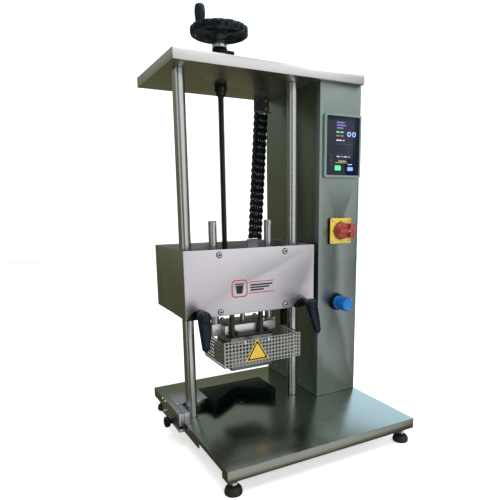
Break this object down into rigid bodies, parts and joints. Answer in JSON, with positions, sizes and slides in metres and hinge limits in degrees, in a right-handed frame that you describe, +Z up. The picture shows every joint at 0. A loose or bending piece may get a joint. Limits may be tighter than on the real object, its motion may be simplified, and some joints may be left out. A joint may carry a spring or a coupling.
{
  "type": "cup sealing machine",
  "caption": "Bench cup sealer: a box head with an air-pressed hot tool rides two columns on a hand-cranked spindle, beside a control tower.",
  "frame": {"origin": "middle of the overall footprint, at floor level", "axes": "+Z up, -Y towards the operator, +X towards the control tower"},
  "size_m": [0.4842, 0.47, 0.9472],
  "materials": {
    "stainless": "brushed stainless sheet",
    "polished_steel": "ground and polished bar",
    "aluminium": "milled, clear anodised",
    "black_plastic": "moulded black plastic",
    "black_rubber": "black rubber",
    "dark_steel": "blackened steel",
    "yellow_plastic": "yellow plastic",
    "red_plastic": "red plastic",
    "blue_plastic": "blue plastic",
    "screen_glass": "dark touch screen",
    "brass": "turned brass",
    "galvanised": "zinc plated steel"
  },
  "bodies": {
    "frame": {"base_plate": "stainless", "column_left": "polished_steel", "column_right": "polished_steel", "top_plate": "aluminium", "tower_shell": "stainless", "tower_rear_cover": "stainless", "cable_gland": "black_plastic", "air_fitting": "brass", "power_supply": "galvanised", "press_valve": "aluminium", "touch_panel": "black_plastic", "touch_screen": "screen_glass", "switch_plate": "yellow_plastic", "switch_body": "black_plastic", "regulator_nut": "black_plastic", "regulator_body": "aluminium", "spindle_bearing": "dark_steel", "bearing_cap": "aluminium", "chain_top_bracket": "galvanised", "guide_block": "galvanised", "energy_chain": "black_plastic"},
    "head": {"head_shell": "stainless", "head_cover": "stainless", "carriage_plate": "aluminium", "column_clamp_left": "dark_steel", "column_clamp_right": "dark_steel", "press_cylinder": "aluminium", "guide_bush_left": "brass", "guide_bush_right": "brass", "lead_nut": "brass", "chain_foot_bracket": "galvanised"},
    "spindle": {"spindle_screw": "dark_steel", "wheel_hub": "polished_steel", "handwheel": "black_plastic"},
    "crank": {"crank_handle": "black_plastic"},
    "lock_ring": {"spindle_lock": "black_plastic"},
    "left_clamp_lever": {"clamp_lever_left": "black_plastic"},
    "right_clamp_lever": {"clamp_lever_right": "black_plastic"},
    "press": {"piston_rod": "polished_steel", "guide_rod_left": "polished_steel", "guide_rod_right": "polished_steel", "mounting_bar": "aluminium", "tool_plate": "aluminium", "insulation_block": "black_plastic", "heater_block": "aluminium", "sealing_die": "aluminium", "guard": "stainless", "heater_cable": "black_rubber"},
    "main_switch": {"switch_knob": "red_plastic"},
    "regulator": {"regulator_knob": "blue_plastic"},
    "cup_stop": {"vee_block": "black_plastic", "vee_link": "galvanised", "slide_bar": "galvanised"},
    "stop_knob": {"star_knob": "black_plastic"},
    "foot_1": {"foot_front_left": "black_rubber"},
    "foot_2": {"foot_front_right": "black_rubber"},
    "foot_3": {"foot_back_left": "black_rubber"},
    "foot_4": {"foot_back_right": "black_rubber"}
  },
  "joints": [
    {"name": "spindle_turn", "type": "hinge", "parent": "frame", "child": "spindle", "pos_m": [-0.04935, 0.118, 0.756], "axis": [0, 0, 1], "range_deg": [-1360, 22510]},
    {"name": "head_lift", "type": "slide", "parent": "frame", "child": "head", "axis": [0, 0, 1], "range_m": [-0.015, 0.25], "deforming": ["energy_chain"]},
    {"name": "crank_spin", "type": "hinge", "parent": "spindle", "child": "crank", "pos_m": [-0.09884, 0.10566, 0.9092], "axis": [0, 0, 1], "continuous": true},
    {"name": "lock_turn", "type": "hinge", "parent": "frame", "child": "lock_ring", "pos_m": [-0.04935, 0.118, 0.86], "axis": [0, 0, 1], "range_deg": [0, 75]},
    {"name": "left_clamp_turn", "type": "hinge", "parent": "head", "child": "left_clamp_lever", "pos_m": [-0.17835, -0.035, 0.3015], "axis": [0, -1, 0], "range_deg": [0, 60]},
    {"name": "right_clamp_turn", "type": "hinge", "parent": "head", "child": "right_clamp_lever", "pos_m": [0.07965, -0.035, 0.3015], "axis": [0, -1, 0], "range_deg": [0, 60]},
    {"name": "press_stroke", "type": "slide", "parent": "head", "child": "press", "axis": [0, 0, -1], "range_m": [0, 0.05]},
    {"name": "switch_turn", "type": "hinge", "parent": "frame", "child": "main_switch", "pos_m": [0.1844, -0.025, 0.46125], "axis": [0, 1, 0], "range_deg": [0, 90]},
    {"name": "regulator_turn", "type": "hinge", "parent": "frame", "child": "regulator", "pos_m": [0.18065, -0.025, 0.29], "axis": [0, 1, 0], "range_deg": [-360, 360]},
    {"name": "cup_stop_slide", "type": "slide", "parent": "frame", "child": "cup_stop", "axis": [0, 1, 0], "range_m": [0, 0.036]},
    {"name": "stop_knob_turn", "type": "hinge", "parent": "frame", "child": "stop_knob", "pos_m": [-0.22285, 0.0313, 0.05], "axis": [1, 0, 0], "range_deg": [0, 360]},
    {"name": "foot_1_turn", "type": "hinge", "parent": "frame", "child": "foot_1", "pos_m": [-0.18885, -0.216, 0], "axis": [0, 0, 1], "range_deg": [-720, 720]},
    {"name": "foot_2_turn", "type": "hinge", "parent": "frame", "child": "foot_2", "pos_m": [0.22315, -0.216, 0], "axis": [0, 0, 1], "range_deg": [-720, 720]},
    {"name": "foot_3_turn", "type": "hinge", "parent": "frame", "child": "foot_3", "pos_m": [-0.18885, 0.216, 0], "axis": [0, 0, 1], "range_deg": [-720, 720]},
    {"name": "foot_4_turn", "type": "hinge", "parent": "frame", "child": "foot_4", "pos_m": [0.22315, 0.216, 0], "axis": [0, 0, 1], "range_deg": [-720, 720]}
  ],
  "couplings": [
    {"joint": "spindle_turn", "follows": "head_lift", "rad_per_m": 1570.8}
  ]
}
